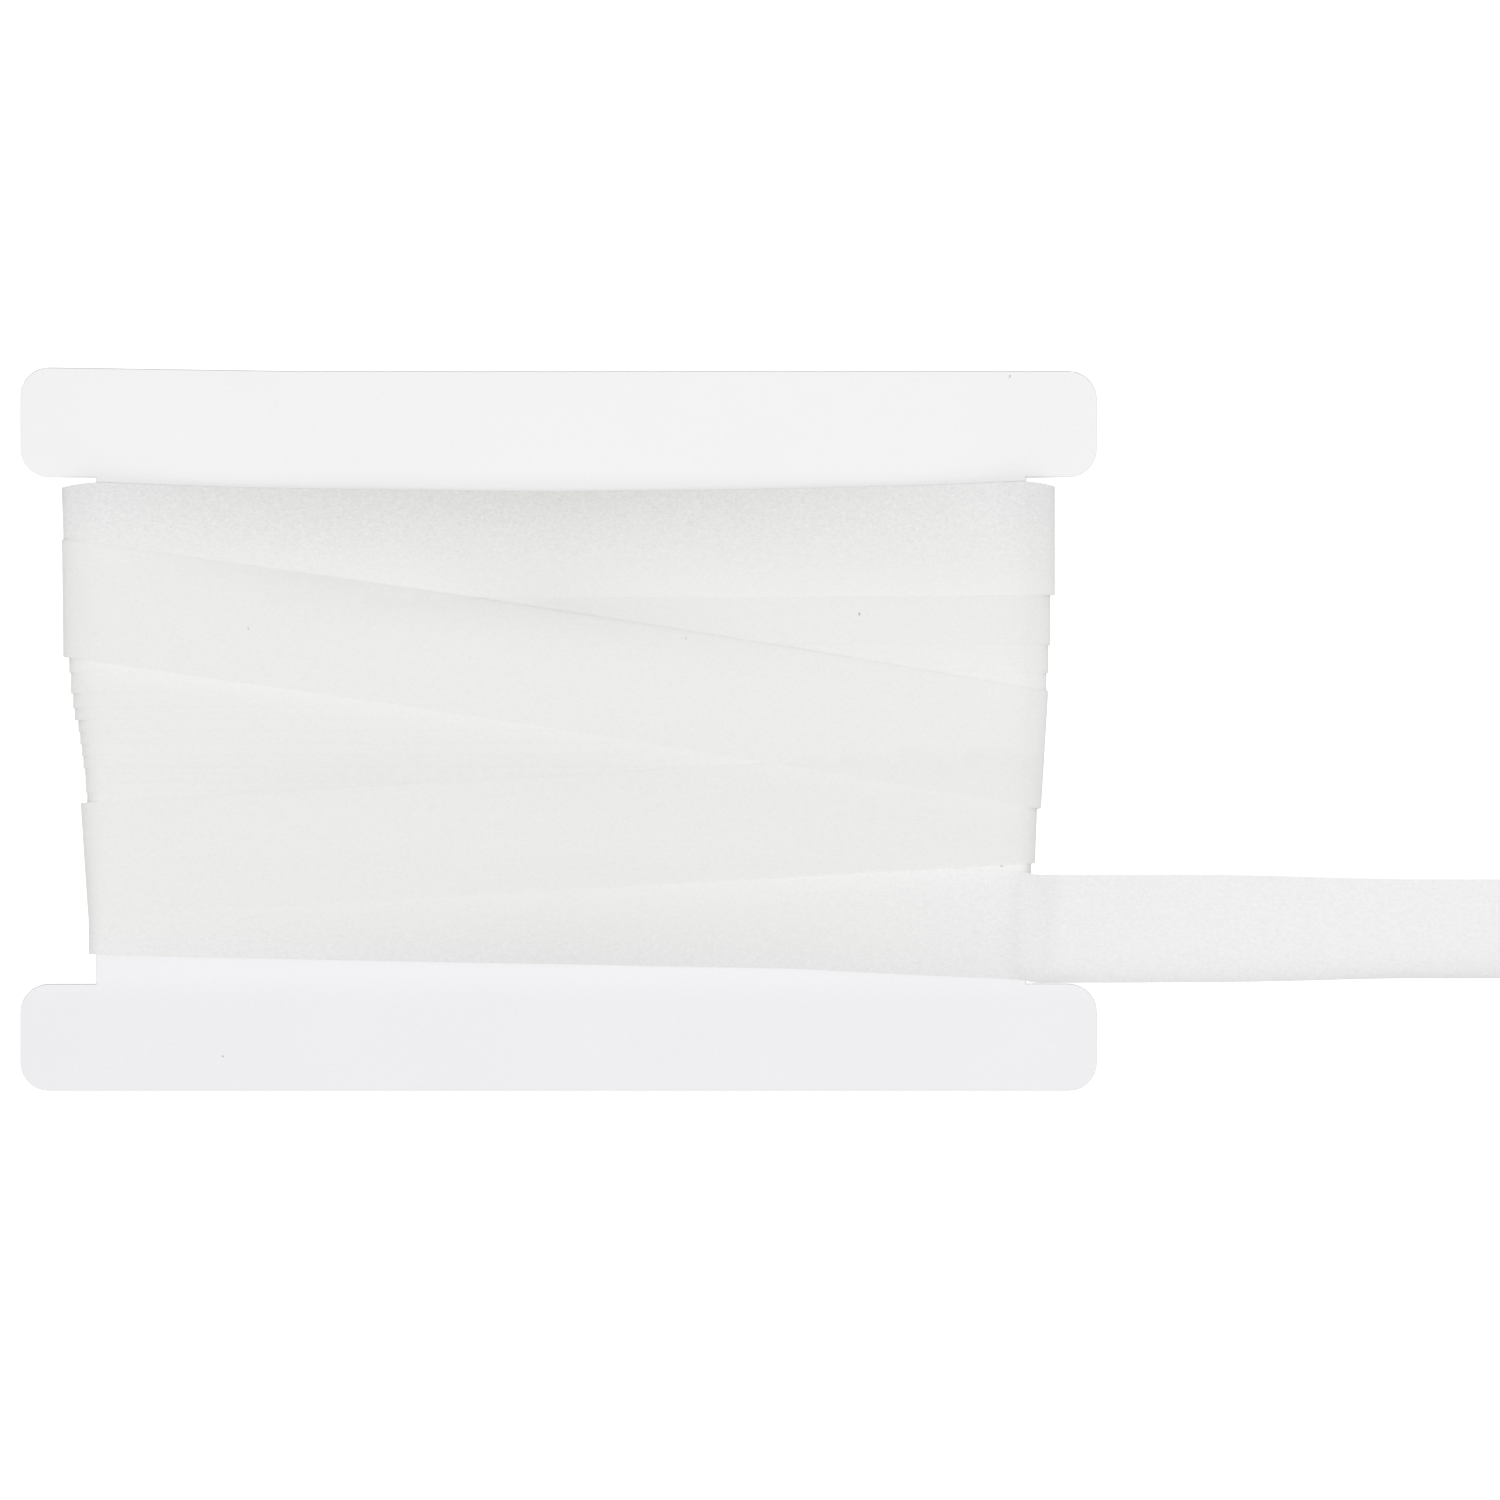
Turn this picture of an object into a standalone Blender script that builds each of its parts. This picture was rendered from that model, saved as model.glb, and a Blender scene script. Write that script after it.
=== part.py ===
"""Roll of fusible web tape: a flat H-shaped card with tape wound round its web and one end left loose.

The roll lies on its back. +X runs along the turns to the loose end, +Y up the card, +Z out of its
front. The origin is on the flat of the winding's back, under the middle of the card.
"""
import math
from collections import namedtuple

import bmesh
import bpy
from mathutils import Vector

# Card, in metres
CARD_RIGHT = 0.1224
CARD_LEFT = -0.1223
CARD_TOP_EDGE = 0.0818
CARD_BOTTOM_EDGE = -0.0818
CARD_RAISED_CORNER = 0.0827
CARD_RAISED_UNTIL = -0.0600
NOTCH_TOP = 0.0577
NOTCH_BOTTOM = -0.0575
WEB_LEFT = -0.1051
WEB_RIGHT = 0.1062
CARD_CORNER_RADIUS = 0.0064
CARD_THICKNESS = 0.0020
CORNER_STEPS = 7

# Heights above the surface that the roll lies on
CLEARANCE = 0.0003
BACK_THICKNESS = 0.0022
CARD_BACK_Z = BACK_THICKNESS + CLEARANCE
CARD_FRONT_Z = CARD_BACK_Z + CARD_THICKNESS
PILE_FLOOR_Z = CARD_FRONT_Z + CLEARANCE

# Winding: it grows with every turn, from the bottom of the card to the top
TAPE_WIDTH = 0.0250
PILE_THIN = 0.0010
PILE_THICK = 0.0037
PILE_BOTTOM_Y = -0.0500
PILE_TOP_Y = 0.0307
BEND_INSET = 0.0015
FRONT_STEPS = 10
BEND_STEPS = 6
WIDTH_STEPS = 4
BELOW_FLOOR = 0.0010

# Level turns in the order they were wound: the height of the lower edge, and how far the turn
# reaches to the left. Their lower edges show as a staircase up the left side.
Turn = namedtuple("Turn", "low_edge left")
TURNS = (
    Turn(-0.0330, -0.1064), Turn(-0.0302, -0.1065), Turn(-0.0274, -0.1067), Turn(-0.0246, -0.1068),
    Turn(-0.0218, -0.1070), Turn(-0.0190, -0.1072), Turn(-0.0164, -0.1073), Turn(-0.0140, -0.1076),
    Turn(-0.0119, -0.1077), Turn(-0.0099, -0.1078), Turn(-0.0085, -0.1082), Turn(-0.0058, -0.1085),
    Turn(-0.0031, -0.1089), Turn(-0.0003, -0.1093), Turn(0.0024, -0.1101), Turn(0.0051, -0.1105),
    Turn(0.0085, -0.1110), Turn(0.0132, -0.1114), Turn(0.0195, -0.1118), Turn(0.0302, -0.1121),
)
TURN_FIRST_RIGHT = 0.1077
TURN_LAST_RIGHT = 0.1116

# Loose end
TAIL_THICKNESS = 0.0012
TAIL_CENTRE_Y = -0.0446
TAIL_ROOT_X = 0.1040
TAIL_BEND_SHARE = 0.5
TAIL_BEND_FROM_X = 0.1050
TAIL_BEND_TO_X = 0.1150
TAIL_SLOPE_FROM_X = 0.1075
TAIL_SLOPE_TO_X = 0.1450
TAIL_END_X = 0.2240
TAIL_ROOT_WIDTH = 0.0244
TAIL_END_WIDTH = 0.0234
TAIL_ROLL_FROM_X = 0.1400
TAIL_ROLL_TO_X = 0.1950
TAIL_ROLL_DEG = 12.0
TAIL_CURL_DEG = 34.0
TAIL_CURL_WIDTH = 0.0050
TAIL_LENGTH_STEPS = 44
TAIL_WIDTH_STEPS = 10

# Cutters run this far past the roll
CUT_REACH = 0.3000

# Bands that cross the front, from the first wound to the last. left and right are how far their
# bends reach past the web, and a flare is how much further the upper edge reaches than the lower.
# centre_left and centre_right are the middle of the width where the band meets the web's edges.
# sag lowers the middle of the run, droop is how far the upper edge falls to the card there, and lift
# is the height over the pile. A level band keeps one height across its width.
Band = namedtuple("Band", "name left flare_left right flare_right centre_left centre_right width "
                          "sag droop lift level")
BANDS = (
    Band("band_of_loose_end", -0.1067, 0.0, 0.1074, 0.0, -0.0373, -0.0444, 0.0246,
         sag=0.0, droop=0.0, lift=0.0003, level=False),
    Band("band_low", -0.1076, 0.0017, 0.1086, 0.0010, -0.0294, -0.0169, 0.0262,
         sag=0.0, droop=0.0, lift=0.0006, level=False),
    Band("band_top", -0.1127, 0.0009, 0.1126, 0.0, 0.0438, 0.0428, 0.0252,
         sag=0.0008, droop=0.0026, lift=0.0004, level=True),
    Band("band_across", -0.1129, 0.0003, 0.1103, 0.0016, 0.0303, -0.0043, 0.0267,
         sag=0.0, droop=0.0, lift=0.0009, level=False),
)
DROOP_POWER = 2.2

COLOURS = {"card": (0.88, 0.88, 0.90), "tape": (0.83, 0.83, 0.81)}
ROUGHNESS = {"card": 0.62, "tape": 0.85}


def clear_scene():
    """Remove every object of the open scene."""
    for item in list(bpy.data.objects):
        bpy.data.objects.remove(item, do_unlink=True)


def new_collection(name):
    """A collection of the given name, linked to the scene."""
    collection = bpy.data.collections.new(name)
    bpy.context.scene.collection.children.link(collection)
    return collection


def principled(kind):
    """A Principled material of the given kind."""
    material = bpy.data.materials.new(kind)
    material.use_nodes = True
    shader = material.node_tree.nodes["Principled BSDF"]
    shader.inputs["Base Color"].default_value = (*COLOURS[kind], 1.0)
    shader.inputs["Roughness"].default_value = ROUGHNESS[kind]
    shader.inputs["Metallic"].default_value = 0.0
    return material


def smooth(value, start, end):
    """0 before start, 1 after end, and an S curve between."""
    t = min(max((value - start) / (end - start), 0.0), 1.0)
    return t * t * (3.0 - 2.0 * t)


def mix(a, b, t):
    """The value a share t of the way from a to b."""
    return a + (b - a) * t


def rounded_outline(corners):
    """Outline points of a polygon whose corners are (x, y, radius)."""
    points = []
    count = len(corners)
    for i, (x, y, radius) in enumerate(corners):
        corner = Vector((x, y))
        if radius == 0.0:
            points.append(corner)
            continue
        before = Vector(corners[i - 1][:2]) - corner
        after = Vector(corners[(i + 1) % count][:2]) - corner
        half = before.angle(after) / 2.0
        middle = corner + (before.normalized() + after.normalized()).normalized() * radius / math.sin(half)
        start = corner + before.normalized() * radius / math.tan(half) - middle
        end = corner + after.normalized() * radius / math.tan(half) - middle
        sweep = start.angle_signed(end)
        for step in range(CORNER_STEPS + 1):
            turn = -sweep * step / CORNER_STEPS
            cosine, sine = math.cos(turn), math.sin(turn)
            points.append(middle + Vector((start.x * cosine - start.y * sine,
                                           start.x * sine + start.y * cosine)))
    return points


def make_card(collection, material):
    """The flat card: two wide bars joined by the web that the tape is wound on."""
    r = CARD_CORNER_RADIUS
    corners = (
        (CARD_LEFT, CARD_RAISED_CORNER, r), (CARD_RAISED_UNTIL, CARD_TOP_EDGE, 0.0),
        (CARD_RIGHT, CARD_TOP_EDGE, r), (CARD_RIGHT, NOTCH_TOP, r),
        (WEB_RIGHT, NOTCH_TOP, 0.0), (WEB_RIGHT, NOTCH_BOTTOM, 0.0),
        (CARD_RIGHT, NOTCH_BOTTOM, r), (CARD_RIGHT, CARD_BOTTOM_EDGE, r),
        (CARD_LEFT, CARD_BOTTOM_EDGE, r), (CARD_LEFT, NOTCH_BOTTOM, r),
        (WEB_LEFT, NOTCH_BOTTOM, 0.0), (WEB_LEFT, NOTCH_TOP, 0.0),
        (CARD_LEFT, NOTCH_TOP, r),
    )
    outline = rounded_outline(corners)
    curve = bpy.data.curves.new("card", "CURVE")
    curve.dimensions = "2D"
    curve.fill_mode = "BOTH"
    curve.extrude = CARD_THICKNESS / 2.0
    spline = curve.splines.new("POLY")
    spline.points.add(len(outline) - 1)
    for point, place in zip(spline.points, outline):
        point.co = (place.x, place.y, 0.0, 1.0)
    spline.use_cyclic_u = True
    card = bpy.data.objects.new("card", curve)
    card.location.z = (CARD_BACK_Z + CARD_FRONT_Z) / 2.0
    curve.materials.append(material)
    collection.objects.link(card)
    return card


def pile_height(y):
    """Front height of the winding at y: every turn lies over the one below it."""
    share = min(max((y - PILE_BOTTOM_Y) / (PILE_TOP_Y - PILE_BOTTOM_Y), 0.0), 1.0)
    return PILE_FLOOR_Z + mix(PILE_THIN, PILE_THICK, share)


def band_columns():
    """A band's columns: side (-1 left bend, 0 straight run, 1 right bend), place and swell.

    On the run the place is the share of the way across the web, and in a bend it is the share of
    the bend's reach. The swell is 1 on the run and 0 at the tip of a bend.
    """
    bend = [math.cos(math.pi / 2.0 * step / BEND_STEPS) for step in range(BEND_STEPS)]
    columns = [(-1, reach, math.sqrt(1.0 - reach * reach)) for reach in bend]
    columns += [(0, step / FRONT_STEPS, 1.0) for step in range(FRONT_STEPS + 1)]
    columns += [(1, reach, math.sqrt(1.0 - reach * reach)) for reach in reversed(bend)]
    return columns


def column_x(band, side, place, across):
    """Where a column of a band lies along x, at the given place across its width."""
    flat_left = WEB_LEFT + BEND_INSET
    flat_right = WEB_RIGHT - BEND_INSET
    if side == 0:
        return mix(flat_left, flat_right, place)
    if side < 0:
        return mix(flat_left, band.left - band.flare_left * across / 2.0, place)
    return mix(flat_right, band.right + band.flare_right * across / 2.0, place)


def band_point(band, column, across, front):
    """One point of a band, on its front or its back."""
    side, place, swell = column
    x = column_x(band, side, place, across)
    along = min(max((x - WEB_LEFT) / (WEB_RIGHT - WEB_LEFT), 0.0), 1.0)
    arch = 4.0 * along * (1.0 - along)
    centre = mix(band.centre_left, band.centre_right, along) - band.sag * arch
    y = centre + across * band.width / 2.0
    fall = band.droop * arch * ((1.0 + across) / 2.0) ** DROOP_POWER
    top = pile_height(centre - band.width / 2.0 if band.level else y) + band.lift - fall
    middle = (top - BELOW_FLOOR) / 2.0
    half = (top + BELOW_FLOOR) / 2.0
    return Vector((x, y, middle + half * swell if front else middle - half * swell))


def make_band(band, collection):
    """A band of tape as a closed body from its front to below the floor, with rounded sides."""
    mesh = bmesh.new()
    columns = band_columns()
    rows = []
    for step in range(WIDTH_STEPS + 1):
        across = mix(-1.0, 1.0, step / WIDTH_STEPS)
        front = [mesh.verts.new(band_point(band, column, across, True)) for column in columns]
        back = [mesh.verts.new(band_point(band, column, across, False)) for column in columns[1:-1]]
        rows.append((front, [front[0], *back, front[-1]]))
    for (front, back), (next_front, next_back) in zip(rows, rows[1:]):
        for i in range(len(columns) - 1):
            mesh.faces.new((front[i], front[i + 1], next_front[i + 1], next_front[i]))
            mesh.faces.new((back[i + 1], back[i], next_back[i], next_back[i + 1]))
    for front, back in (rows[0], rows[-1]):
        for i in range(len(columns) - 1):
            corners = dict.fromkeys((front[i], back[i], back[i + 1], front[i + 1]))
            mesh.faces.new(tuple(corners))
    bmesh.ops.recalc_face_normals(mesh, faces=mesh.faces)
    data = bpy.data.meshes.new(band.name)
    mesh.to_mesh(data)
    mesh.free()
    piece = bpy.data.objects.new(band.name, data)
    collection.objects.link(piece)
    hide(piece)
    return piece


def hide(piece):
    """Show a cutter or guide as wires only, and leave it out of the render."""
    piece.hide_render = True
    piece.display_type = "WIRE"


def staircase_bands():
    """The level turns, each a little higher up the card and further out than the last."""
    for number, turn in enumerate(TURNS):
        centre = turn.low_edge + TAPE_WIDTH / 2.0
        right = mix(TURN_FIRST_RIGHT, TURN_LAST_RIGHT, number / (len(TURNS) - 1))
        name = "turn_{:02d}".format(number + 1)
        yield Band(name, turn.left, 0.0, right, 0.0, centre, centre, TAPE_WIDTH,
                   sag=0.0, droop=0.0, lift=0.0, level=True)


def make_box(name, low, high, collection):
    """A box from its low corner to its high corner, for cutting."""
    mesh = bmesh.new()
    bmesh.ops.create_cube(mesh, size=1.0)
    size = Vector(high) - Vector(low)
    middle = (Vector(high) + Vector(low)) / 2.0
    for vert in mesh.verts:
        vert.co = Vector((vert.co.x * size.x, vert.co.y * size.y, vert.co.z * size.z)) + middle
    data = bpy.data.meshes.new(name)
    mesh.to_mesh(data)
    mesh.free()
    box = bpy.data.objects.new(name, data)
    collection.objects.link(box)
    hide(box)
    return box


def cut(piece, cutter):
    """Cut one body out of another with a Boolean modifier."""
    modifier = piece.modifiers.new(cutter.name, "BOOLEAN")
    modifier.operation = "DIFFERENCE"
    modifier.solver = "EXACT"
    modifier.object = cutter


def make_winding(collection, cutters, material):
    """All the turns as one solid ring round the web, flat at the back."""
    turns = new_collection("turns")
    for band in (*BANDS[1:], *staircase_bands()):
        make_band(band, turns)
    winding = make_band(BANDS[0], collection)
    winding.name = "tape_winding"
    winding.hide_render = False
    winding.display_type = "TEXTURED"
    join = winding.modifiers.new("all turns", "BOOLEAN")
    join.operation = "UNION"
    join.solver = "EXACT"
    join.operand_type = "COLLECTION"
    join.collection = turns

    far = CUT_REACH
    web_room = make_box("web_room", (WEB_LEFT - CLEARANCE, -far, CARD_BACK_Z - CLEARANCE),
                        (WEB_RIGHT + CLEARANCE, far, PILE_FLOOR_Z), cutters)
    floor = make_box("floor_cut", (-far, -far, -far), (far, far, 0.0), cutters)
    tail_top = TAIL_CENTRE_Y + TAIL_ROOT_WIDTH / 2.0 + CLEARANCE
    tail_room = make_box("tail_room", (TAIL_ROOT_X - CLEARANCE, -far, BACK_THICKNESS),
                         (far, tail_top, far), cutters)
    for cutter in (web_room, floor, tail_room):
        cut(winding, cutter)
    winding.data.materials.append(material)
    return winding


def tail_section(x):
    """Across the loose end at x: (y, z) of its under side, from its lower edge to its upper one."""
    curl = smooth(x, TAIL_ROLL_FROM_X, TAIL_ROLL_TO_X)
    width = mix(TAIL_ROOT_WIDTH, TAIL_END_WIDTH, curl)
    step = width / TAIL_WIDTH_STEPS
    y, z = 0.0, 0.0
    points = [(y, z)]
    for i in range(TAIL_WIDTH_STEPS):
        from_edge = (i + 0.5) * step
        bend = max(0.0, 1.0 - from_edge / TAIL_CURL_WIDTH) ** 2
        angle = math.radians(TAIL_ROLL_DEG + TAIL_CURL_DEG * bend) * curl
        y += step * math.cos(angle)
        z += step * math.sin(angle)
        points.append((y, z))
    shift = TAIL_CENTRE_Y - y / 2.0
    return [(place + shift, height) for place, height in points]


def make_tail(collection, material):
    """The loose end: it comes off its band, bends at the web's edge and falls to the surface."""
    mesh = bmesh.new()
    rows = []
    for i in range(TAIL_LENGTH_STEPS + 1):
        x = mix(TAIL_ROOT_X, TAIL_END_X, i / TAIL_LENGTH_STEPS)
        drop = mix(smooth(x, TAIL_SLOPE_FROM_X, TAIL_SLOPE_TO_X),
                   smooth(x, TAIL_BEND_FROM_X, TAIL_BEND_TO_X), TAIL_BEND_SHARE)
        base = mix(PILE_FLOOR_Z, 0.0, drop)
        rows.append([mesh.verts.new((x, y, base + z)) for y, z in tail_section(x)])
    for row, following in zip(rows, rows[1:]):
        for i in range(TAIL_WIDTH_STEPS):
            mesh.faces.new((row[i], following[i], following[i + 1], row[i + 1]))
    data = bpy.data.meshes.new("tape_tail")
    mesh.to_mesh(data)
    mesh.free()
    tail = bpy.data.objects.new("tape_tail", data)
    collection.objects.link(tail)
    shell = tail.modifiers.new("thickness", "SOLIDIFY")
    shell.thickness = TAIL_THICKNESS
    shell.offset = 1.0
    data.materials.append(material)
    return tail


def build():
    """Model the roll."""
    clear_scene()
    parts = new_collection("fusible_web_tape_roll")
    cutters = new_collection("cutters")
    card_stock = principled("card")
    tape = principled("tape")
    make_card(parts, card_stock)
    make_winding(parts, cutters, tape)
    make_tail(parts, tape)


build()
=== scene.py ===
"""Looks for the roll of fusible web tape: one long tape wound round a flat card.

Lengths are in metres. +X runs along the turns to the loose end, +Y up the card, +Z out of its front.
"""
import math
from collections import namedtuple

import bpy
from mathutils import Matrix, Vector, noise

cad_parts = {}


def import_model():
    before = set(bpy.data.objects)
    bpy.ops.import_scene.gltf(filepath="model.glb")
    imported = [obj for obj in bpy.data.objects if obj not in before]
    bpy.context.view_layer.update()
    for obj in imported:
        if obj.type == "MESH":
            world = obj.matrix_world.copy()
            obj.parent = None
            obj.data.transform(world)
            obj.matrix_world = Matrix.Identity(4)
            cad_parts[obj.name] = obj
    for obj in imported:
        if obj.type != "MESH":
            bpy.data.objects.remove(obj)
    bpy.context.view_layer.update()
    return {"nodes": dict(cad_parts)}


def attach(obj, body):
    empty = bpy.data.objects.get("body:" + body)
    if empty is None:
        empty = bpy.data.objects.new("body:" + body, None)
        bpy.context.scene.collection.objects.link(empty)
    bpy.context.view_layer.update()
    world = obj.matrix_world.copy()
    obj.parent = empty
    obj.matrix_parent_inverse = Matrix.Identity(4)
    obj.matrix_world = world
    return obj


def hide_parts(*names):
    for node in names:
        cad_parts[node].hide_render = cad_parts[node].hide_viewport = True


# Photograph
FRAME_WIDTH = 0.3409
FRAME_CENTRE = (0.04352, -0.00432)
LENS = 180.0
SENSOR = 36.0

# Card: its web and its front as in the CAD, and the rounding of its cut edges
WEB_LEFT = -0.1051
WEB_RIGHT = 0.1062
CARD_FRONT_Z = 0.0045
CARD_EDGE_BEVEL = 0.00022

# Winding: where the bends start, the tape's own size, and the run over the back of the first and of
# the last level turn
BEND_INSET = 0.0015
TAPE_WIDTH = 0.0250
TAPE_THICKNESS = 0.00005
BACK_HIGH_Z = 0.00215
BACK_LOW_Z = 0.00042

# The top of the winding falls to the card in the middle of its run, and is drawn in there
DROOP = 0.0030
DROOP_FROM_Y = 0.0280
DROOP_RUN = 0.0275
DROOP_POWER = 2.0
DROOP_SPREAD = 0.35
DRAWN_IN = 0.0015
BEND_DRAWN_IN = 0.0010

# Its bottom falls to the card too, all along the lower edge of the loose band
SINK_FROM_Y = -0.0340
SINK_GAP = 0.00028

# Layers of tape that lie on each other, and how far an upper one takes to step up over an edge. A lift
# raises the upper edge of the band across, and of the top band, clear of what lies under it.
LAYER = 0.00006
LEVEL_BASE_Z = 0.0068
LEVEL_STEP = 0.00006
BOTTOM_DROP = 0.0019
BOTTOM_RUN = 0.0236
STEP_RUN = 0.0015
EDGE_DIP = 0.000008
EDGE_LIFT = (0.00002, 0.00005, 0.00006, 0.00009, 0.00005)
EDGE_LIFT_ACROSS = (0.80, 1.0)
TOP_LIFT = 0.00006
TOP_LIFT_ACROSS = (0.1, 0.7)

# Turns that fill the winding, from the first one wound: height of the lower edge, and the front's
# height over the card. Their bends spread to the left and the right with that height.
CORE_TURNS = (
    (0.0306, 0.0003), (0.0309, 0.0007), (0.0304, 0.0011), (0.0308, 0.0015), (0.0303, 0.0019),
    (0.0309, 0.0023), (0.0305, 0.0027), (0.0307, 0.0031), (-0.0330, 0.0005), (-0.0440, 0.0003),
    (-0.0465, 0.0006),
)
CORE_LEFT = -0.1054
CORE_RIGHT = 0.1064
CORE_SPREAD = (-2.0, 1.7)

# Level turns: height of the lower edge, and how far the turn reaches to the left. To the right they
# reach further from the first one on.
LEVEL_TURNS = (
    (-0.0330, -0.1062), (-0.0302, -0.1063), (-0.0274, -0.1065), (-0.0246, -0.1066),
    (-0.0218, -0.1068), (-0.0190, -0.1070), (-0.0164, -0.1071), (-0.0140, -0.1074),
    (-0.0119, -0.1075), (-0.0099, -0.1076), (-0.0085, -0.1080), (-0.0058, -0.1083),
    (-0.0031, -0.1087), (-0.0003, -0.1091), (0.0024, -0.1099), (0.0051, -0.1103),
    (0.0085, -0.1108), (0.0132, -0.1112), (0.0195, -0.1116), (0.0302, -0.1119),
)
LEVEL_RIGHT = (0.1072, 0.1117)
LEVEL_RIGHT_GAIN = 1.25

# Columns of the sheet along one turn's run over the front: hidden turns, level turns and bands
CORE_COLUMNS = 20
LEVEL_COLUMNS = 48
BAND_COLUMNS = 110
CORE_BEND_STEPS = 8
BEND_STEPS = 12

# How far the tape is shifted from side to side, and how often
WAVER = 0.00014
WAVER_TO_THE_METRE = 28.0

# Specks of dust, at most one in each cell of a grid: cells to the metre, size, ragged edge and colour
SPECK_CELLS = 29.0
SPECK_RADIUS = 0.00024
SPECK_PUSH = (0.0012, 0.0012, 0.0)
SPECK_COLOUR = (0.46, 0.45, 0.43, 1.0)

# Rows across the tape, -1 at its lower edge and 1 at its upper one
ROWS = (-1.0, -0.985, -0.93, -0.85, -0.72, -0.5, -0.25, 0.0, 0.25, 0.5, 0.72, 0.85, 0.93, 0.985, 1.0)

# Loose end: the path and the section that it has in the CAD, and then the painted light and shade on
# it and the painted shade at its crease
TAIL_FROM_X = 0.1040
TAIL_END_X = 0.2240
TAIL_CENTRE_Y = -0.0450
TAIL_ROOT_WIDTH = 0.0246
TAIL_END_WIDTH = 0.0236
TAIL_BEND_SHARE = 0.5
TAIL_BEND_X = (0.1050, 0.1150)
TAIL_SLOPE_X = (0.1075, 0.1450)
TAIL_ROLL_X = (0.1400, 0.1950)
TAIL_ROLL_DEG = 12.0
TAIL_CURL_DEG = 34.0
TAIL_CURL_WIDTH = 0.0050
TAIL_COLUMNS = 120
TAIL_JOIN_RUN = 0.006
TAIL_SECTION_STEPS = 60
TAIL_PAINTED_LIGHT = 1.018
TAIL_PAINTED_LIGHT_X = (0.1060, 0.1400)
TAIL_EDGE_SHADE = (-0.105, -0.145)
TAIL_EDGE_SHADE_REACH = 0.0024
CREASE_SHADE_X = 0.1046
CREASE_SHADE_REACH = 0.0024
CREASE_SHADE = -0.034

# One turn of the tape. left and right are how far its bends reach, and a flare is how much further
# the upper edge reaches than the lower. start and end are the heights of its middle at the web's
# left and right edge. front is the height of a level turn's front, and None for a band that follows
# the pile. back is the height of its run over the back. bow is how far the run lies over a straight
# line, in values that are spread evenly over the web's width.
Turn = namedtuple("Turn", "left flare_left right flare_right start end width front back columns bow")
STRAIGHT = (0.0, 0.0)
BAND_TOP = Turn(-0.1125, 0.0009, 0.1128, 0.0, 0.0435, 0.0437, 0.0258, None, 0.00034,
                BAND_COLUMNS, (0.0, -0.0003, -0.0004, -0.0003, 0.0))
BAND_ACROSS = Turn(-0.1127, 0.0003, 0.1105, 0.0016, 0.0303, -0.0043, 0.0270, None, 0.00010,
                   BAND_COLUMNS, (0.0, 0.0008, 0.0011, 0.0008, 0.0))
BAND_LOW = Turn(-0.1078, 0.0017, 0.1088, 0.0010, -0.0294, -0.0169, 0.0262, None, 0.00022,
                BAND_COLUMNS, STRAIGHT)
BAND_LOOSE = Turn(-0.1069, 0.0, 0.1075, 0.0, -0.0384, -0.0443, 0.0246, None, 0.00022,
                  BAND_COLUMNS, (0.0, 0.0002, 0.0007, 0.0011, 0.0))

# Bands that a band lies on, besides the level turns
LIES_ON = {BAND_TOP: (), BAND_ACROSS: (BAND_TOP, BAND_LOW), BAND_LOW: (BAND_LOOSE,), BAND_LOOSE: ()}

# Soft relief of the front beside a band's edge: band, edge (-1 lower, 1 upper), the side of the edge
# that it reaches to (-1 below, 1 above), heights at the edge from the left to the right, and reach
RELIEF = (
    (BAND_ACROSS, -1, -1, (0.0, 0.00012, 0.0), 0.0025),
    (BAND_ACROSS, -1, 1, (0.0, 0.00012, 0.0), 0.0060),
)

# Painted light and shade on the tape beside a band's edge (lighter strips, darker wedges and lines),
# in the same form, as a share of its own tone
PAINTED_EDGE_SHADING = (
    (BAND_ACROSS, -1, -1, (0.046, 0.026, 0.018), 0.0034),
    (BAND_ACROSS, -1, 1, (0.0, 0.004, 0.004), 0.0006),
    (BAND_ACROSS, 1, -1, (0.034, -0.062, -0.058, -0.014, 0.012), 0.0060),
    (BAND_ACROSS, 1, -1, (-0.035, 0.026, -0.060, -0.034, -0.012), 0.0003),
    (BAND_ACROSS, 1, 1, (0.020, 0.026, 0.018, -0.062, -0.018, 0.012, 0.034), 0.0085),
    (BAND_LOW, 1, 1, (0.014, 0.010, 0.0), 0.0026),
    (BAND_LOW, 1, 1, (0.0, -0.044, -0.036, -0.010, 0.0), 0.0090),
    (BAND_LOW, 1, -1, (-0.004, -0.004, 0.0), 0.0060),
    (BAND_LOW, 1, -1, (-0.002, -0.020, -0.026), 0.0300),
    (BAND_LOW, -1, -1, (0.0, 0.014, 0.062), 0.0034),
    (BAND_LOW, -1, 1, (0.0, 0.010, 0.020), 0.0006),
    (BAND_LOOSE, -1, 1, (-0.014, -0.086, -0.042), 0.0115),
    (BAND_LOOSE, -1, 1, (0.0, -0.004, -0.014), 0.0030),
    (BAND_LOOSE, 1, -1, (-0.001, -0.009, -0.006), 0.0300),
    (BAND_TOP, 1, -1, (-0.080, -0.132, -0.034), 0.0120),
    (BAND_TOP, -1, 1, (0.0, 0.022, 0.032), 0.0060),
    (BAND_TOP, -1, -1, (0.0, -0.012, -0.006), 0.0030),
)

# How much the turns differ in tone, and the painted shade along a level turn's lower edge
TURN_TONE = 0.008
LOWER_EDGE_SHADE = -0.012
LOWER_EDGE_SHADE_ACROSS = (0.93, 1.0)

# Painted shade on the rims towards the bends: where each starts and is full, and its tone on the top
# band and on the others
RIM_SHADE_LEFT = (-0.1010, -0.1080, 0.0, -0.004)
RIM_SHADE_RIGHT = (0.0985, 0.1075, -0.022, -0.018)

# Painted shade: the top band is darker at the right over the height where fewer turns lie under it
BARE_CORNER_SHADE = -0.018
BARE_CORNER_SHADE_X = (0.0960, 0.1060)
BARE_CORNER_SHADE_Y = (0.0430, 0.0458)

# Depth of the mottling: where the tape lies on more tape, on the loose end, and on the top band
GRAIN_THICK = 0.19
GRAIN_TAIL = 0.32
GRAIN_TOP = 0.50

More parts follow.
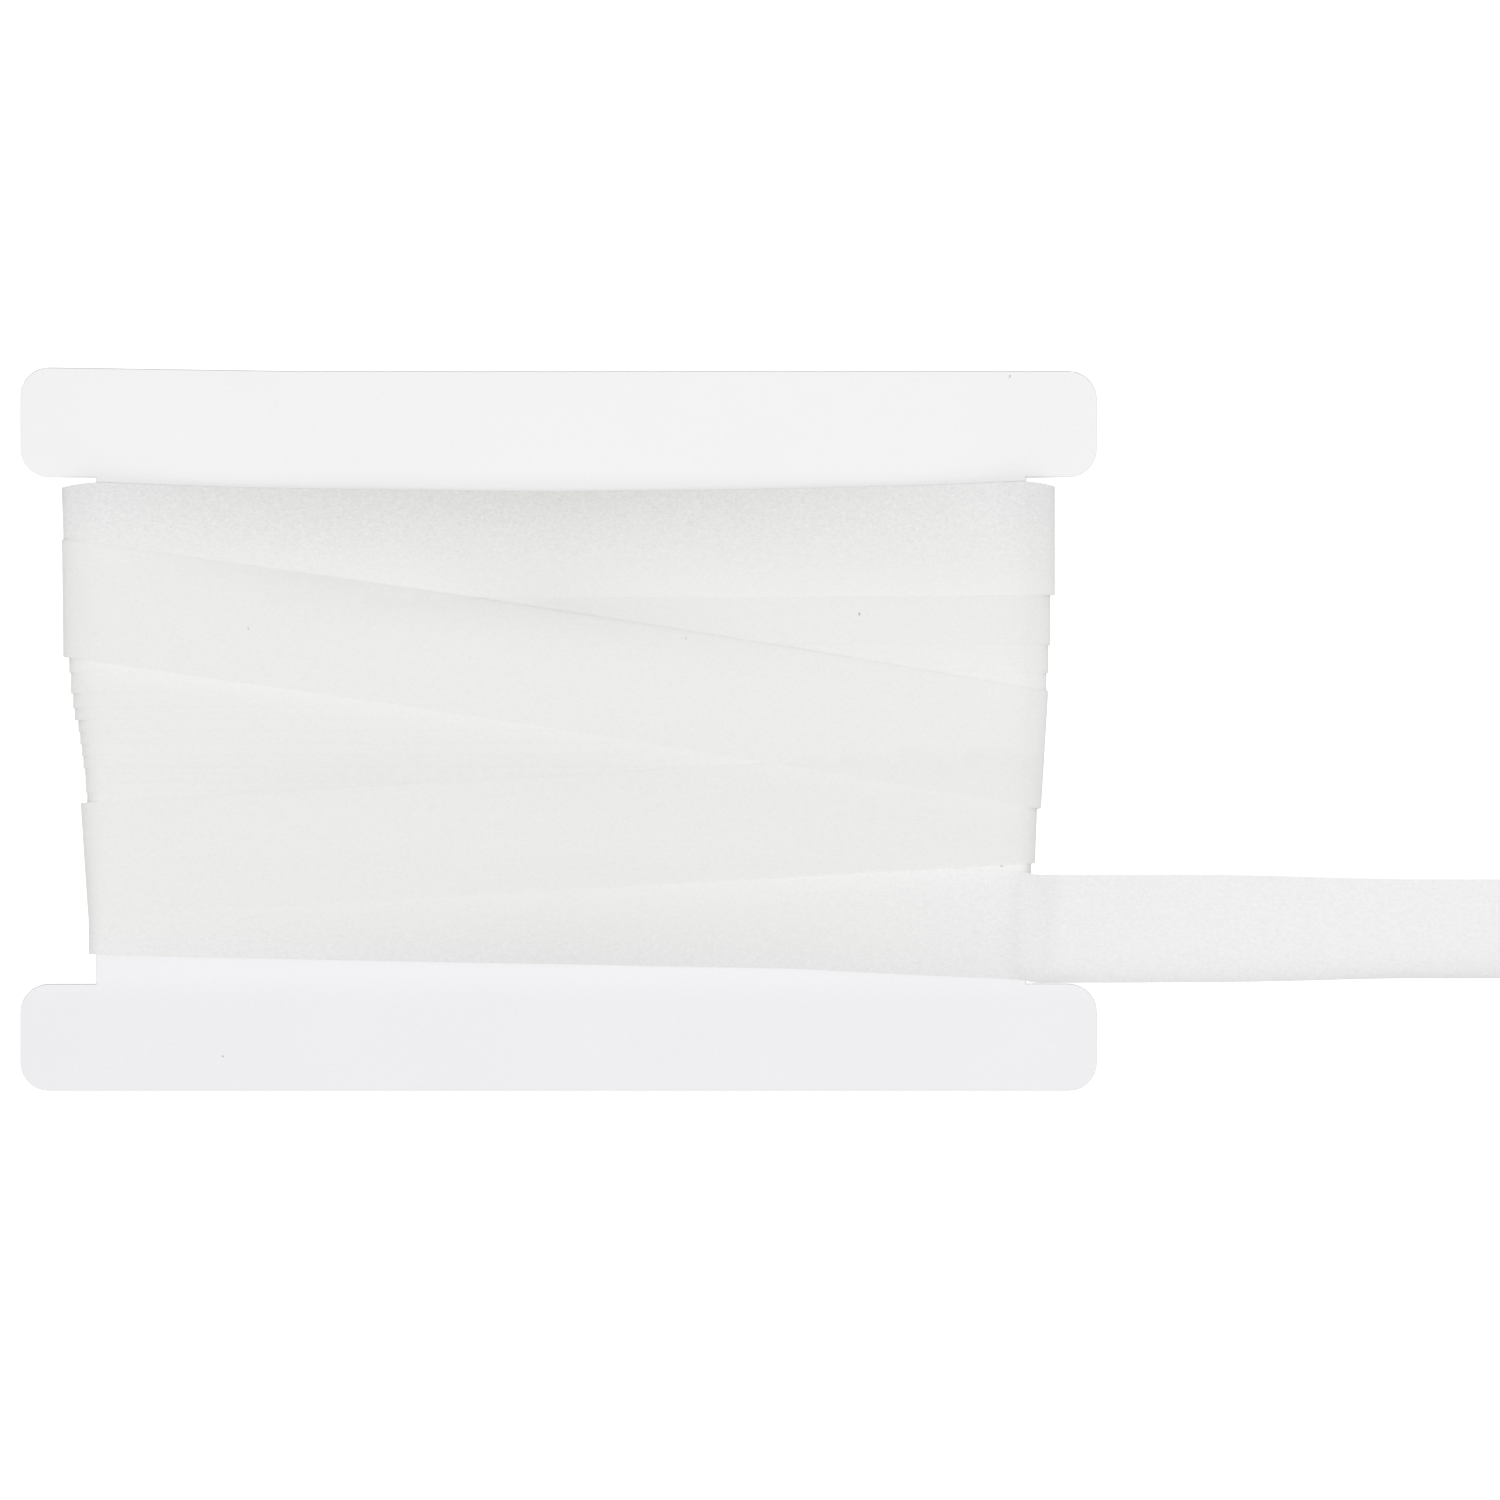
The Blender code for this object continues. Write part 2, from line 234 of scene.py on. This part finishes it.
# Where little or nothing lies under the top band and the loose band, so that they look thin
TOP_THIN_ACROSS = (-0.9, 0.6)
TOP_COVERED_MIDDLE = 0.6
LOOSE_THIN_X = (0.0200, 0.1000)
LOOSE_THIN_ACROSS = (-0.2, 0.9)

# Colours of the tape: over more tape, and on its own
TAPE_THICK_COLOUR = (0.829, 0.828, 0.812, 1.0)
TAPE_THIN_COLOUR = (0.832, 0.832, 0.830, 1.0)

# Colours of the card: at its lower and upper end, and of its cut edge, and the painted shade on the
# roundings of the edges that face up the card
CARD_LOW_COLOUR = (0.831, 0.830, 0.846, 1.0)
CARD_HIGH_COLOUR = (0.838, 0.837, 0.847, 1.0)
CARD_CUT_COLOUR = (0.74, 0.74, 0.73, 1.0)
CARD_UPPER_ROUNDING_SHADE = (0.42, 0.42, 0.42, 1.0)
CARD_TINT_Y = (-0.0650, 0.0650)

# The card is paler from just under the winding upwards, and has painted shade just over the winding's
# middle
PALE_Y = (-0.0625, -0.0540)
PALE_TONE = 1.040
SHADE_OVER_WINDING_Y = (0.0595, 0.0545)
SHADE_OVER_WINDING_X = (0.1000, 0.0450)
SHADE_OVER_WINDING = -0.060

# Stage
FLOOR_HALF = 3.0
FLOOR_Z = -0.0001
WORLD_STRENGTH = 0.36
FRONT_LAMP_HEIGHT = 2.4
LOW_LAMP_PLACE = (0.45, -1.30, 1.10)

# A column of the path: points across the tape, how thin the tape lies there (1 where nothing is under
# it), its tone with the painted light and shade on it, and the depth of its mottling
Column = namedtuple("Column", "points thin tone grain")


def smooth(value, start, end):
    """0 before start, 1 after end, and an S curve between."""
    t = min(max((value - start) / (end - start), 0.0), 1.0)
    return t * t * (3.0 - 2.0 * t)


def mix(a, b, t):
    """The value a share t of the way from a to b."""
    return a + (b - a) * t


# Winding

def level_front(number):
    """Front height of a level turn: each lies on the last."""
    return LEVEL_BASE_Z + LEVEL_STEP * number


def turns_top(y):
    """Top of the level turns at y, smoothed over their steps."""
    lows = [low for low, _ in LEVEL_TURNS]
    if y <= lows[0]:
        return LEVEL_BASE_Z - BOTTOM_DROP * ((lows[0] - y) / BOTTOM_RUN) ** 1.5
    for number, (low, high) in enumerate(zip(lows, lows[1:])):
        if y < high:
            return level_front(number + (y - low) / (high - low))
    return level_front(len(lows) - 1)


def arch(x):
    """1 half way across the web, and 0 at its edges."""
    along = min(max((x - WEB_LEFT) / (WEB_RIGHT - WEB_LEFT), 0.0), 1.0)
    return 4.0 * along * (1.0 - along)


def droop_share(y):
    """How much of the droop there is at y: none below its start, and 1 near the top."""
    return max(0.0, (y - DROOP_FROM_Y) / DROOP_RUN) ** DROOP_POWER


def fallen(x, y, z):
    """A place on the front, lowered where the top and the bottom of the winding fall to the card."""
    share = (z - CARD_FRONT_Z) / (level_front(len(LEVEL_TURNS)) - CARD_FRONT_Z)
    z -= DROOP * share * arch(x) ** DROOP_SPREAD * droop_share(y)
    pile = turns_top(y) + LAYER - CARD_FRONT_Z
    low = (SINK_FROM_Y - y) / (SINK_FROM_Y - edge_height(BAND_LOOSE, -1, x))
    sink = (pile - SINK_GAP) * min(max(low, 0.0), 1.0) ** 2
    z -= sink * min(1.0, (z - CARD_FRONT_Z) / pile)
    return Vector((x, y - DRAWN_IN * arch(x) * droop_share(y), z))


def edge_height(band, across, x):
    """Where a line along a turn runs over the front at x, such as its lower (-1) or upper (1) edge."""
    along = (x - band.left) / (band.right - band.left)
    return mix(band.start, band.end, along) + along_web(band.bow, x) + across * band.width / 2.0


def along_web(values, x):
    """A value at x, from values that are spread evenly over the web's width."""
    along = min(max((x - WEB_LEFT) / (WEB_RIGHT - WEB_LEFT), 0.0), 1.0)
    place = along * (len(values) - 1)
    first = min(int(place), len(values) - 2)
    return mix(values[first], values[first + 1], place - first)


def beside_edges(table, turn, x, y):
    """Sum of a table's soft rises and falls on a turn; an edge belongs to its band.

    A turn under the band has no jump at the edge: what is beside the band goes on under it.
    """
    total = 0.0
    for band, edge, side, amounts, reach in table:
        away = (y - edge_height(band, edge, x)) * side - side * edge * 0.0000001
        if turn.front is not None or turn in LIES_ON[band]:
            away = abs(away) if side == edge else -1.0
        if away > 0.0:
            total += along_web(amounts, x) * math.exp(-(away / reach) ** 1.5)
    return total


def make_turns():
    """Every turn of the tape in the order it was wound."""
    turns = []
    count = len(CORE_TURNS) + len(LEVEL_TURNS)

    def back(number):
        return mix(BACK_HIGH_Z, BACK_LOW_Z, number / (count - 1))

    for number, (low, height) in enumerate(CORE_TURNS):
        middle = low + TAPE_WIDTH / 2.0
        turns.append(Turn(CORE_LEFT + CORE_SPREAD[0] * height, 0.0,
                          CORE_RIGHT + CORE_SPREAD[1] * height, 0.0, middle, middle,
                          TAPE_WIDTH, CARD_FRONT_Z + height, back(number), CORE_COLUMNS,
                          STRAIGHT))
    for number, (low, left) in enumerate(LEVEL_TURNS):
        share = (low - LEVEL_TURNS[0][0]) / (LEVEL_TURNS[-1][0] - LEVEL_TURNS[0][0])
        middle = low + TAPE_WIDTH / 2.0
        right = mix(*LEVEL_RIGHT, min(1.0, LEVEL_RIGHT_GAIN * share))
        turns.append(Turn(left, 0.0, right, 0.0, middle, middle, TAPE_WIDTH, level_front(number),
                          back(len(CORE_TURNS) + number), LEVEL_COLUMNS, STRAIGHT))
    turns += [BAND_TOP, BAND_ACROSS, BAND_LOW, BAND_LOOSE]
    return turns


def front_point(turn, x, across):
    """A point of a turn's straight run over the front."""
    y = edge_height(turn, across, x)
    z = turn.front
    if z is None:
        z = turns_top(y) + LAYER
        for under in LIES_ON[turn]:
            low = edge_height(under, -1, x)
            high = edge_height(under, 1, x)
            z += LAYER * smooth(y, low - STEP_RUN, low) * (1.0 - smooth(y, high, high + STEP_RUN))
        if turn is BAND_ACROSS:
            z += along_web(EDGE_LIFT, x) * smooth(across, *EDGE_LIFT_ACROSS)
        elif turn is BAND_TOP:
            z += TOP_LIFT * smooth(across, *TOP_LIFT_ACROSS)
    share = smooth(z, CARD_FRONT_Z, LEVEL_BASE_Z)
    z += share * beside_edges(RELIEF, turn, x, y) - EDGE_DIP * across ** 12
    return fallen(x, y, z)


def rim_painted_shade(turn, x):
    """Painted shade: the tape is darker towards the bends."""
    if turn is BAND_LOOSE:
        return 0.0
    tone = 0.0
    for start, end, top_band, others in (RIM_SHADE_LEFT, RIM_SHADE_RIGHT):
        tone += (top_band if turn is BAND_TOP else others) * smooth(x / start, 1.0, end / start)
    return tone


def crease_painted_shade(x):
    """Painted shade at the crease where the loose end leaves the web."""
    return CREASE_SHADE * math.exp(-((x - CREASE_SHADE_X) / CREASE_SHADE_REACH) ** 2)


def front_column(turn, x):
    """A column of a turn's straight run over the front."""
    points = [front_point(turn, x, across) for across in ROWS]
    own = 1.0 + TURN_TONE * noise.noise(Vector((turn.start * 900.0, 0.5, 0.5)))
    # Painted light and shade beside the bands' edges, added to the turn's own tone
    tone = [own + beside_edges(PAINTED_EDGE_SHADING, turn, x, edge_height(turn, across, x)) for across in ROWS]
    thin = [0.0] * len(ROWS)
    grain = [GRAIN_THICK] * len(ROWS)
    if turn is BAND_TOP:
        bare = [smooth(across, *TOP_THIN_ACROSS) for across in ROWS]
        thin = [(1.0 - TOP_COVERED_MIDDLE * arch(x)) * share for share in bare]
        grain = [mix(GRAIN_THICK, GRAIN_TOP, share) for share in bare]
        # Painted shade at the top band's right corner
        corner_shade = BARE_CORNER_SHADE * smooth(x, *BARE_CORNER_SHADE_X)
        tone = [value + corner_shade * smooth(point.y, *BARE_CORNER_SHADE_Y)
                for value, point in zip(tone, points)]
    elif turn is BAND_LOOSE:
        right = smooth(x, *LOOSE_THIN_X)
        thin = [max(right, smooth(-across, *LOOSE_THIN_ACROSS)) for across in ROWS]
        grain = [mix(GRAIN_THICK, GRAIN_TAIL, share) for share in thin]
        tone = [value + crease_painted_shade(x) for value in tone]
    elif turn.front is not None:
        # Painted shade along a level turn's lower edge
        tone = [value + LOWER_EDGE_SHADE * smooth(-across, *LOWER_EDGE_SHADE_ACROSS)
                for value, across in zip(tone, ROWS)]
    rim_shade = rim_painted_shade(turn, x)
    return Column(points, thin, [value + rim_shade for value in tone], grain)


def bend_column(turn, side, angle, back_z):
    """A column of the bend at one side of a turn: angle 0 is its front and pi its back."""
    flat = WEB_RIGHT - BEND_INSET if side > 0 else WEB_LEFT + BEND_INSET
    front = front_column(turn, flat)
    points = []
    for across, point in zip(ROWS, front.points):
        if side > 0:
            tip = turn.right + turn.flare_right * across / 2.0
        else:
            tip = turn.left - turn.flare_left * across / 2.0
        x = mix(flat, tip, math.sin(angle))
        middle = (point.z + back_z) / 2.0
        y = edge_height(turn, across, x if angle < math.pi / 2.0 else tip)
        y -= BEND_DRAWN_IN * math.sin(angle) ** 2 * droop_share(y)
        points.append(Vector((x, y, middle + (point.z - back_z) / 2.0 * math.cos(angle))))
    share = 0.5 + 0.5 * math.cos(angle)
    rim_shade = rim_painted_shade(turn, points[0].x)
    return Column(points, front.thin, [mix(1.0, tone, share) + rim_shade for tone in front.tone],
                  front.grain)


def back_column(turn, following, share, x):
    """A column of the run over the back, from one turn to the following one."""
    points = []
    for across in ROWS:
        from_y = edge_height(turn, across, turn.right)
        to_y = edge_height(following, across, following.left)
        points.append(Vector((x, mix(from_y, to_y, share), turn.back)))
    return Column(points, [0.0] * len(ROWS), [1.0] * len(ROWS), [GRAIN_THICK] * len(ROWS))


def make_path(turns):
    """The tape's middle surface as one list of columns."""
    columns = []
    flat_left = WEB_LEFT + BEND_INSET
    flat_right = WEB_RIGHT - BEND_INSET
    for turn, following in zip(turns, turns[1:]):
        bend_steps = CORE_BEND_STEPS if turn.columns == CORE_COLUMNS else BEND_STEPS
        for step in range(turn.columns + 1):
            columns.append(front_column(turn, mix(flat_left, flat_right, step / turn.columns)))
        for step in range(1, bend_steps + 1):
            columns.append(bend_column(turn, 1, math.pi * step / bend_steps, turn.back))
        back_steps = max(BEND_STEPS, turn.columns // 3)
        for step in range(1, back_steps):
            share = step / back_steps
            columns.append(back_column(turn, following, share, mix(flat_right, flat_left, share)))
        for step in range(bend_steps):
            angle = math.pi * (1.0 - step / bend_steps)
            columns.append(bend_column(following, -1, angle, turn.back))
    last = turns[-1]
    for step in range(last.columns + 1):
        columns.append(front_column(last, mix(flat_left, TAIL_FROM_X, step / last.columns)))
    return columns


def tail_section(x):
    """Across the loose end at x: (y, z over the surface) at each row."""
    curl = smooth(x, *TAIL_ROLL_X)
    width = mix(TAIL_ROOT_WIDTH, TAIL_END_WIDTH, curl)
    steps = TAIL_SECTION_STEPS
    y, z = 0.0, 0.0
    line = [(0.0, 0.0)]
    for i in range(steps):
        from_edge = (i + 0.5) * width / steps
        bend = max(0.0, 1.0 - from_edge / TAIL_CURL_WIDTH) ** 2
        angle = math.radians(TAIL_ROLL_DEG + TAIL_CURL_DEG * bend) * curl
        y += width / steps * math.cos(angle)
        z += width / steps * math.sin(angle)
        line.append((y, z))
    points = []
    for across in ROWS:
        place = (across + 1.0) / 2.0 * steps
        low = min(int(place), steps - 1)
        a, b = line[low], line[low + 1]
        points.append((mix(a[0], b[0], place - low) - y / 2.0, mix(a[1], b[1], place - low)))
    return points


def make_tail(band):
    """Columns of the loose end, which leaves its band and falls to the surface."""
    columns = []
    for step in range(1, TAIL_COLUMNS + 1):
        x = mix(TAIL_FROM_X, TAIL_END_X, step / TAIL_COLUMNS)
        drop = mix(smooth(x, *TAIL_SLOPE_X), smooth(x, *TAIL_BEND_X), TAIL_BEND_SHARE)
        join = smooth(x, TAIL_FROM_X, TAIL_FROM_X + TAIL_JOIN_RUN)
        points = []
        for across, (y, z) in zip(ROWS, tail_section(x)):
            start = front_point(band, min(x, WEB_RIGHT), across)
            height = mix(start.z, TAPE_THICKNESS, drop) + z
            points.append(Vector((x, mix(start.y, TAIL_CENTRE_Y + y, join), height)))
        # Painted light: the loose end is lighter past its bend, where it lies on the floor; with the
        # painted shade at its crease
        painted_light_and_shade = mix(1.0, TAIL_PAINTED_LIGHT, smooth(x, *TAIL_PAINTED_LIGHT_X)) + crease_painted_shade(x)
        # Painted shade along the loose end's lower edge, where it curls down
        edge = mix(*TAIL_EDGE_SHADE, smooth(x, TAIL_FROM_X, TAIL_END_X))
        low = points[0].y
        tone = [painted_light_and_shade + edge * math.exp(-(point.y - low) / TAIL_EDGE_SHADE_REACH) for point in points]
        columns.append(Column(points, [1.0] * len(ROWS), tone, [GRAIN_TAIL] * len(ROWS)))
    return columns


def waver(columns):
    """Shift the tape a little up and down the card along its length, as a hand winds it."""
    run = 0.0
    last = columns[0].points[0].copy()
    for column in columns:
        run += (column.points[0] - last).length
        last = column.points[0].copy()
        shift = WAVER * noise.noise(Vector((run * WAVER_TO_THE_METRE, 3.1, 0.0)))
        for point in column.points:
            point.y += shift


def sheet_mesh(name, columns, thickness):
    """A closed sheet of the given thickness round a middle surface."""
    rows = len(ROWS)
    count = len(columns)
    front, back = [], []
    for i, column in enumerate(columns):
        before = columns[max(i - 1, 0)].points
        after = columns[min(i + 1, count - 1)].points
        for j, point in enumerate(column.points):
            along = after[j] - before[j]
            across = column.points[min(j + 1, rows - 1)] - column.points[max(j - 1, 0)]
            normal = along.cross(across).normalized() * thickness / 2.0
            front.append(point + normal)
            back.append(point - normal)
    size = rows * count
    faces = []
    for i in range(count - 1):
        for j in range(rows - 1):
            a, b = i * rows + j, (i + 1) * rows + j
            faces.append((a, b, b + 1, a + 1))
            faces.append((size + a, size + a + 1, size + b + 1, size + b))
        for j in (0, rows - 1):
            a, b = i * rows + j, (i + 1) * rows + j
            side = (a, size + a, size + b, b)
            faces.append(side if j == 0 else side[::-1])
    for i in (0, count - 1):
        for j in range(rows - 1):
            a = i * rows + j
            side = (a, a + 1, size + a + 1, size + a)
            faces.append(side if i == 0 else side[::-1])
    mesh = bpy.data.meshes.new(name)
    mesh.from_pydata([tuple(v) for v in front + back], [], faces)
    mesh.update()
    mesh.polygons.foreach_set("use_smooth", [True] * len(mesh.polygons))
    mesh.set_sharp_from_angle(angle=math.radians(45.0))
    for field in ("thin", "tone", "grain"):
        values = [value for column in columns for value in getattr(column, field)]
        mesh.attributes.new(field, "FLOAT", "POINT").data.foreach_set("value", values * 2)
    return mesh


def add_piece(name, mesh, material):
    """Link a mesh as a piece that rides on the roll."""
    piece = bpy.data.objects.new(name, mesh)
    bpy.context.scene.collection.objects.link(piece)
    mesh.materials.append(material)
    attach(piece, "root")
    return piece


# Card

def make_card(cad_card, material):
    """The card of the CAD with its cut edges a little rounded."""
    mesh = cad_card.data.copy()
    mesh.materials.clear()
    piece = add_piece("card_board", mesh, material)
    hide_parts("card")
    weld = piece.modifiers.new("weld", "WELD")
    weld.merge_threshold = 0.00001
    bevel = piece.modifiers.new("cut edge", "BEVEL")
    bevel.width = CARD_EDGE_BEVEL
    bevel.segments = 2
    bevel.limit_method = "ANGLE"
    bevel.angle_limit = math.radians(50.0)
    return piece


# Materials

def node(tree, kind, inputs=None, **settings):
    """A shader node with its settings and the values of its sockets."""
    made = tree.nodes.new(kind)
    for key, value in settings.items():
        setattr(made, key, value)
    for key, value in (inputs or {}).items():
        made.inputs[key].default_value = value
    return made


def feed(tree, socket, value):
    """Give a socket its value: another node's result, or a fixed number or colour."""
    if isinstance(value, bpy.types.NodeSocket):
        tree.links.new(value, socket)
    else:
        socket.default_value = value


def maths(tree, operation, *values):
    """The result of a maths node."""
    made = node(tree, "ShaderNodeMath", operation=operation)
    for socket, value in zip(made.inputs, values):
        feed(tree, socket, value)
    return made.outputs["Value"]


def remap(tree, value, start, end, low=0.0, high=1.0, kind="LINEAR"):
    """A value mapped so that start gives low and end gives high."""
    made = node(tree, "ShaderNodeMapRange",
                {"From Min": start, "From Max": end, "To Min": low, "To Max": high},
                interpolation_type=kind)
    feed(tree, made.inputs["Value"], value)
    return made.outputs["Result"]


def blend(tree, share, a, b):
    """A mix of two colours: a where the share is 0, and b where it is 1."""
    made = node(tree, "ShaderNodeMix", data_type="RGBA")
    feed(tree, made.inputs["Factor"], share)
    feed(tree, made.inputs["A"], a)
    feed(tree, made.inputs["B"], b)
    return made.outputs["Result"]


def scaled(tree, colour, amount):
    """A colour times an amount."""
    made = node(tree, "ShaderNodeVectorMath", operation="SCALE")
    feed(tree, made.inputs[0], colour)
    feed(tree, made.inputs["Scale"], amount)
    return made.outputs["Vector"]


def split(tree, vector):
    """The X, Y and Z of a vector."""
    made = node(tree, "ShaderNodeSeparateXYZ")
    feed(tree, made.inputs["Vector"], vector)
    return made.outputs


def noise_node(tree, place, scale, detail, roughness=0.5, distortion=0.0):
    """A noise texture at a place."""
    made = node(tree, "ShaderNodeTexNoise", {"Scale": scale, "Detail": detail,
                                             "Roughness": roughness, "Distortion": distortion})
    feed(tree, made.inputs["Vector"], place)
    return made


def new_material(name):
    """A node material: its tree and its Principled shader."""
    material = bpy.data.materials.new(name)
    material.use_nodes = True
    tree = material.node_tree
    return material, tree, tree.nodes["Principled BSDF"]


def finish_material(tree, shader, colour, height, strength, roughness, specular):
    """Give a shader its colour, a fine bump, and its roughness and specular level."""
    bump = node(tree, "ShaderNodeBump", {"Strength": strength, "Distance": 0.0001})
    feed(tree, bump.inputs["Height"], height)
    feed(tree, shader.inputs["Base Color"], colour)
    feed(tree, shader.inputs["Normal"], bump.outputs["Normal"])
    shader.inputs["Roughness"].default_value = roughness
    shader.inputs["Specular IOR Level"].default_value = specular


def with_specks(tree, place, colour):
    """A colour, darkened at a few tiny specks of dust."""
    ragged = noise_node(tree, place, 2500.0, 1.0)
    pushed = node(tree, "ShaderNodeVectorMath", {1: SPECK_PUSH}, operation="MULTIPLY_ADD")
    feed(tree, pushed.inputs[0], ragged.outputs["Color"])
    feed(tree, pushed.inputs[2], place)
    cells = node(tree, "ShaderNodeTexVoronoi", {"Scale": SPECK_CELLS}, voronoi_dimensions="2D")
    feed(tree, cells.inputs["Vector"], pushed.outputs["Vector"])
    chance = split(tree, cells.outputs["Color"])["X"]
    radius = remap(tree, chance, 0.5, 1.0, 0.0, 2.0 * SPECK_RADIUS * SPECK_CELLS)
    limit = maths(tree, "MULTIPLY", radius, ragged.outputs["Fac"])
    inside = maths(tree, "LESS_THAN", cells.outputs["Distance"], limit)
    return blend(tree, inside, colour, SPECK_COLOUR)


def tape_material():
    """Soft white non-woven web: pressed fibres, a little uneven in density."""
    material, tree, shader = new_material("fusible_web")
    place = node(tree, "ShaderNodeTexCoord").outputs["Object"]
    stretch = node(tree, "ShaderNodeMapping", {"Scale": (0.35, 1.0, 1.0)})
    feed(tree, stretch.inputs["Vector"], place)
    web = node(tree, "ShaderNodeMix", {"Factor": 0.5}, data_type="FLOAT")
    feed(tree, web.inputs["A"], noise_node(tree, place, 1300.0, 3.0, 0.6, 0.8).outputs["Fac"])
    feed(tree, web.inputs["B"],
         noise_node(tree, stretch.outputs["Vector"], 3000.0, 3.0, 0.65, 1.4).outputs["Fac"])
    thin, tone, depth = (node(tree, "ShaderNodeAttribute", attribute_name=name).outputs["Fac"]
                         for name in ("thin", "tone", "grain"))
    tint = blend(tree, thin, TAPE_THICK_COLOUR, TAPE_THIN_COLOUR)
    centred = maths(tree, "SUBTRACT", web.outputs["Result"], 0.5)
    grain = maths(tree, "MULTIPLY", centred, depth)
    # The tone attribute carries painted light and shade besides each turn's own tone
    colour = scaled(tree, tint, maths(tree, "ADD", grain, tone))
    finish_material(tree, shader, with_specks(tree, place, colour), web.outputs["Result"],
                    0.25, 0.85, 0.2)
    return material


def card_face(tree, place, grain):
    """Colour of the card's faces: faint mottling, a paler part by the winding, and painted shade just
    over the winding's middle.
    """
    axes = split(tree, place)
    base = blend(tree, remap(tree, axes["Y"], *CARD_TINT_Y), CARD_LOW_COLOUR, CARD_HIGH_COLOUR)
    cloud = noise_node(tree, place, 26.0, 2.0)
    mottle = maths(tree, "MULTIPLY_ADD", cloud.outputs["Fac"], 0.4, grain)
    level = remap(tree, mottle, 0.3, 1.1, 0.977, 1.023)
    pale = remap(tree, axes["Y"], *PALE_Y, 1.0, PALE_TONE, "SMOOTHSTEP")
    # Painted shade on the card just over the winding's middle
    near = remap(tree, axes["Y"], *SHADE_OVER_WINDING_Y, 0.0, SHADE_OVER_WINDING, "SMOOTHSTEP")
    above = maths(tree, "GREATER_THAN", axes["Y"], 0.0)
    middle = remap(tree, maths(tree, "ABSOLUTE", axes["X"]), *SHADE_OVER_WINDING_X)
    share = maths(tree, "MULTIPLY", above, middle)
    tone = maths(tree, "MULTIPLY_ADD", near, share, pale)
    return scaled(tree, base, maths(tree, "MULTIPLY", level, tone))


def card_material():
    """White uncoated board: faint grain on its faces, greyer cut edges, and painted shade on the
    roundings of the edges that face up the card.
    """
    material, tree, shader = new_material("white_board")
    place = node(tree, "ShaderNodeTexCoord").outputs["Object"]
    grain = noise_node(tree, place, 1300.0, 4.0, 0.6).outputs["Fac"]
    normal = split(tree, node(tree, "ShaderNodeNewGeometry").outputs["Normal"])
    level = maths(tree, "ABSOLUTE", normal["Z"])
    # Painted shade on the roundings that face up the card
    rounded = maths(tree, "MULTIPLY", remap(tree, level, 0.10, 0.30),
                    remap(tree, normal["Y"], 0.10, 0.35))
    cut = blend(tree, rounded, CARD_CUT_COLOUR, CARD_UPPER_ROUNDING_SHADE)
    face = with_specks(tree, place, card_face(tree, place, grain))
    colour = blend(tree, remap(tree, level, 0.90, 1.0), cut, face)
    finish_material(tree, shader, colour, grain, 0.10, 0.62, 0.3)
    return material


# Stage

def make_floor():
    """A plain near-white surface."""
    mesh = bpy.data.meshes.new("floor")
    half = FLOOR_HALF
    mesh.from_pydata([(-half, -half, 0.0), (half, -half, 0.0), (half, half, 0.0), (-half, half, 0.0)],
                     [], [(0, 1, 2, 3)])
    floor = bpy.data.objects.new("floor", mesh)
    floor.location.z = FLOOR_Z
    bpy.context.scene.collection.objects.link(floor)
    material, tree, shader = new_material("floor")
    shader.inputs["Base Color"].default_value = (0.9, 0.9, 0.9, 1.0)
    shader.inputs["Roughness"].default_value = 0.9
    shader.inputs["Specular IOR Level"].default_value = 0.0
    shader.inputs["Emission Color"].default_value = (1.0, 1.0, 1.0, 1.0)
    shader.inputs["Emission Strength"].default_value = 0.35
    mesh.materials.append(material)


def add_lamp(name, place, size, energy):
    """A square lamp that shines at the roll."""
    lamp = bpy.data.lights.new(name, "AREA")
    lamp.shape = "SQUARE"
    lamp.size = size
    lamp.energy = energy
    piece = bpy.data.objects.new(name, lamp)
    piece.location = place
    aim = Vector((FRAME_CENTRE[0], FRAME_CENTRE[1], 0.0)) - piece.location
    piece.rotation_euler = aim.to_track_quat("-Z", "Y").to_euler()
    bpy.context.scene.collection.objects.link(piece)


def make_lights():
    """Soft light from all round, a lamp over the camera, and one from the photograph's lower side."""
    world = bpy.data.worlds.new("studio")
    bpy.context.scene.world = world
    world.use_nodes = True
    background = world.node_tree.nodes["Background"]
    background.inputs["Color"].default_value = (1.0, 1.0, 1.0, 1.0)
    background.inputs["Strength"].default_value = WORLD_STRENGTH
    add_lamp("front", (*FRAME_CENTRE, FRONT_LAMP_HEIGHT), 0.6, 35.0)
    add_lamp("low", LOW_LAMP_PLACE, 1.2, 3.0)


def make_camera():
    """A long lens straight above, framed as the photograph."""
    data = bpy.data.cameras.new("camera")
    data.lens = LENS
    data.sensor_width = SENSOR
    data.sensor_fit = "HORIZONTAL"
    data.clip_end = 20.0
    camera = bpy.data.objects.new("camera", data)
    distance = FRAME_WIDTH * LENS / SENSOR
    camera.location = (FRAME_CENTRE[0], FRAME_CENTRE[1], distance + CARD_FRONT_Z)
    bpy.context.scene.collection.objects.link(camera)
    bpy.context.scene.camera = camera
    bpy.context.scene.view_settings.view_transform = "Standard"


def main():
    """Build the roll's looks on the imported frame."""
    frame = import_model()
    make_camera()
    make_lights()
    make_floor()
    make_card(frame["nodes"]["card"], card_material())
    turns = make_turns()
    columns = make_path(turns)
    columns += make_tail(turns[-1])
    waver(columns)
    tape = add_piece("tape", sheet_mesh("tape", columns, TAPE_THICKNESS), tape_material())
    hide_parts("tape_winding", "tape_tail")


main()
